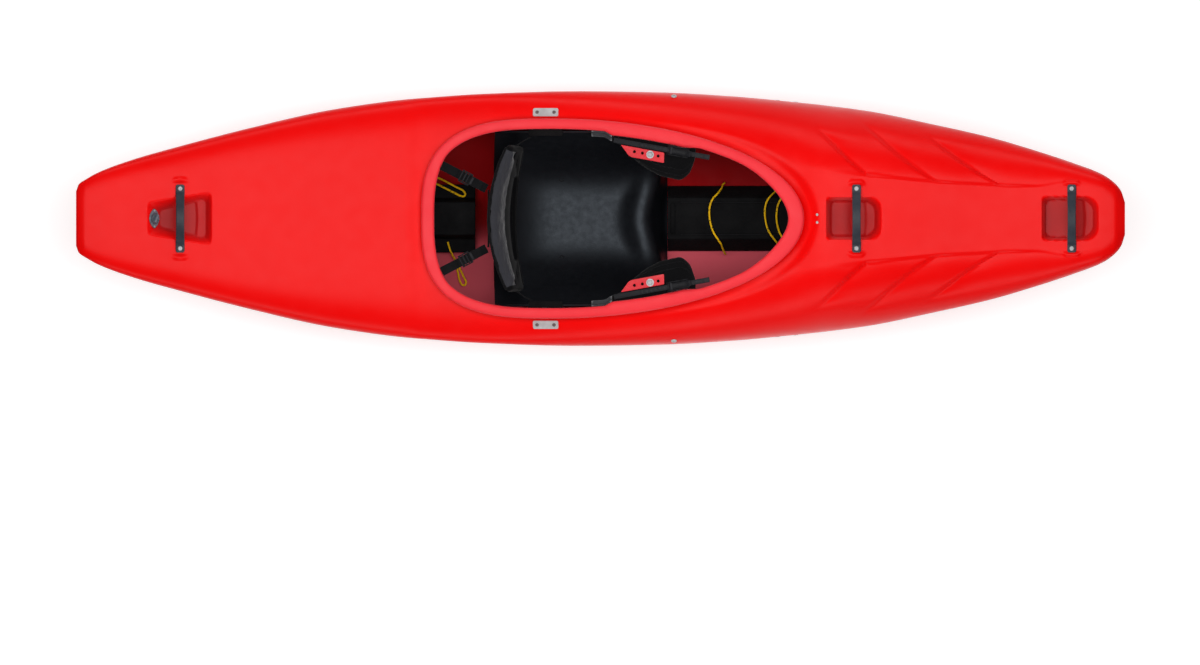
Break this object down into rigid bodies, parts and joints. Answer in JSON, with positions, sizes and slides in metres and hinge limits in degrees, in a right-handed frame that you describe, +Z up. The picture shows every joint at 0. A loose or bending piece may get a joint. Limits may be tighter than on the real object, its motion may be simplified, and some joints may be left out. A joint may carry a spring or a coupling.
{
  "type": "whitewater kayak",
  "caption": "Rotomoulded whitewater kayak with an open cockpit, seat, backband, thigh braces, ratchets, sliding footrest, grab handles and drain plug.",
  "frame": {"origin": "on the floor plane, under the middle of the overall box", "axes": "+X to the bow, +Y to port, +Z up"},
  "size_m": [2.7, 0.6558, 0.4018],
  "materials": {
    "hull": "moulded polyethylene, satin",
    "rim": "moulded polyethylene, soft satin",
    "black_plastic": "moulded black plastic",
    "foam": "closed-cell foam",
    "webbing": "woven webbing",
    "backband_fabric": "wrinkled padded fabric",
    "steel": "stainless",
    "red_plate": "moulded plate",
    "yellow_cord": "braided cord",
    "plug": "moulded grey plastic"
  },
  "bodies": {
    "hull": {"hull_shell": "hull", "cockpit_rim": "rim", "seat_pan": "black_plastic", "rear_pillar": "foam", "front_beam": "black_plastic", "drain_bushing": "plug", "backband_cord": "webbing", "front_cord_aft": "yellow_cord", "front_cord_middle": "yellow_cord", "front_cord_fore": "yellow_cord", "rear_cord_left": "yellow_cord", "rear_cord_right": "yellow_cord", "seat_plate_left": "steel", "seat_plate_right": "steel", "hip_bracket_left": "black_plastic", "hip_bracket_right": "black_plastic", "rear_strap_left": "webbing", "rear_strap_right": "webbing", "strap_buckle_left": "black_plastic", "strap_buckle_right": "black_plastic", "ratchet_base_left": "black_plastic", "ratchet_base_right": "black_plastic", "footrest_sleeve_left": "black_plastic", "footrest_sleeve_right": "black_plastic", "thigh_brace_left": "foam", "thigh_brace_right": "foam", "thigh_brace_plate_left": "red_plate", "thigh_brace_plate_right": "red_plate", "thigh_brace_bolt_left": "steel", "thigh_brace_bolt_right": "steel", "brace_side_bolt_left": "steel", "brace_side_bolt_right": "steel", "footrest_bolt_rear_left": "steel", "footrest_bolt_rear_right": "steel", "footrest_bolt_front_left": "steel", "footrest_bolt_front_right": "steel", "deck_screw_left": "steel", "deck_screw_right": "steel", "grab_handle_stern": "webbing", "handle_bolt_stern_left": "steel", "handle_bolt_stern_right": "steel", "grab_handle_cockpit": "webbing", "handle_bolt_cockpit_left": "steel", "handle_bolt_cockpit_right": "steel", "grab_handle_bow": "webbing", "handle_bolt_bow_left": "steel", "handle_bolt_bow_right": "steel"},
    "drain_plug": {"drain_plug": "plug"},
    "backband_harness": {"backband_side_strap_left": "webbing", "backband_side_strap_right": "webbing"},
    "backband": {"backband_pad": "backband_fabric", "backband_shell": "black_plastic"},
    "footrest": {"footrest_plate": "black_plastic", "footrest_arm_left": "steel", "footrest_arm_right": "steel"},
    "ladder_strap_left": {"ladder_strap_left": "black_plastic"},
    "ratchet_lever_left": {"ratchet_lever_left": "black_plastic"},
    "ladder_strap_right": {"ladder_strap_right": "black_plastic"},
    "ratchet_lever_right": {"ratchet_lever_right": "black_plastic"}
  },
  "joints": [
    {"name": "drain_plug_turn", "type": "hinge", "parent": "hull", "child": "drain_plug", "pos_m": [-1.14982, 0, 0.27845], "axis": [0.7058, 0, 0.7084], "continuous": true},
    {"name": "backband_slide", "type": "slide", "parent": "hull", "child": "backband_harness", "axis": [1, 0, 0], "range_m": [0, 0.02]},
    {"name": "backband_tilt", "type": "hinge", "parent": "backband_harness", "child": "backband", "pos_m": [-0.226, 0, 0.252], "axis": [0, 1, 0], "range_deg": [0, 15]},
    {"name": "footrest_slide", "type": "slide", "parent": "hull", "child": "footrest", "axis": [1, 0, 0], "range_m": [-0.06, 0.06]},
    {"name": "ladder_strap_left_feed", "type": "slide", "parent": "hull", "child": "ladder_strap_left", "axis": [0.9693, -0.1769, 0.1706], "range_m": [0, 0.02]},
    {"name": "ratchet_left_lever", "type": "hinge", "parent": "hull", "child": "ratchet_lever_left", "pos_m": [0.18232, 0.17482, 0.3303], "axis": [-0.1742, -0.9842, -0.0307], "range_deg": [0, 70]},
    {"name": "ladder_strap_right_feed", "type": "slide", "parent": "hull", "child": "ladder_strap_right", "axis": [0.9693, 0.1769, 0.1706], "range_m": [0, 0.02]},
    {"name": "ratchet_right_lever", "type": "hinge", "parent": "hull", "child": "ratchet_lever_right", "pos_m": [0.18232, -0.17482, 0.3303], "axis": [0.1742, -0.9842, 0.0307], "range_deg": [0, 70]}
  ],
  "couplings": [
    {"joint": "ladder_strap_left_feed", "follows": "backband_slide", "ratio": 1},
    {"joint": "ladder_strap_right_feed", "follows": "backband_slide", "ratio": 1}
  ]
}
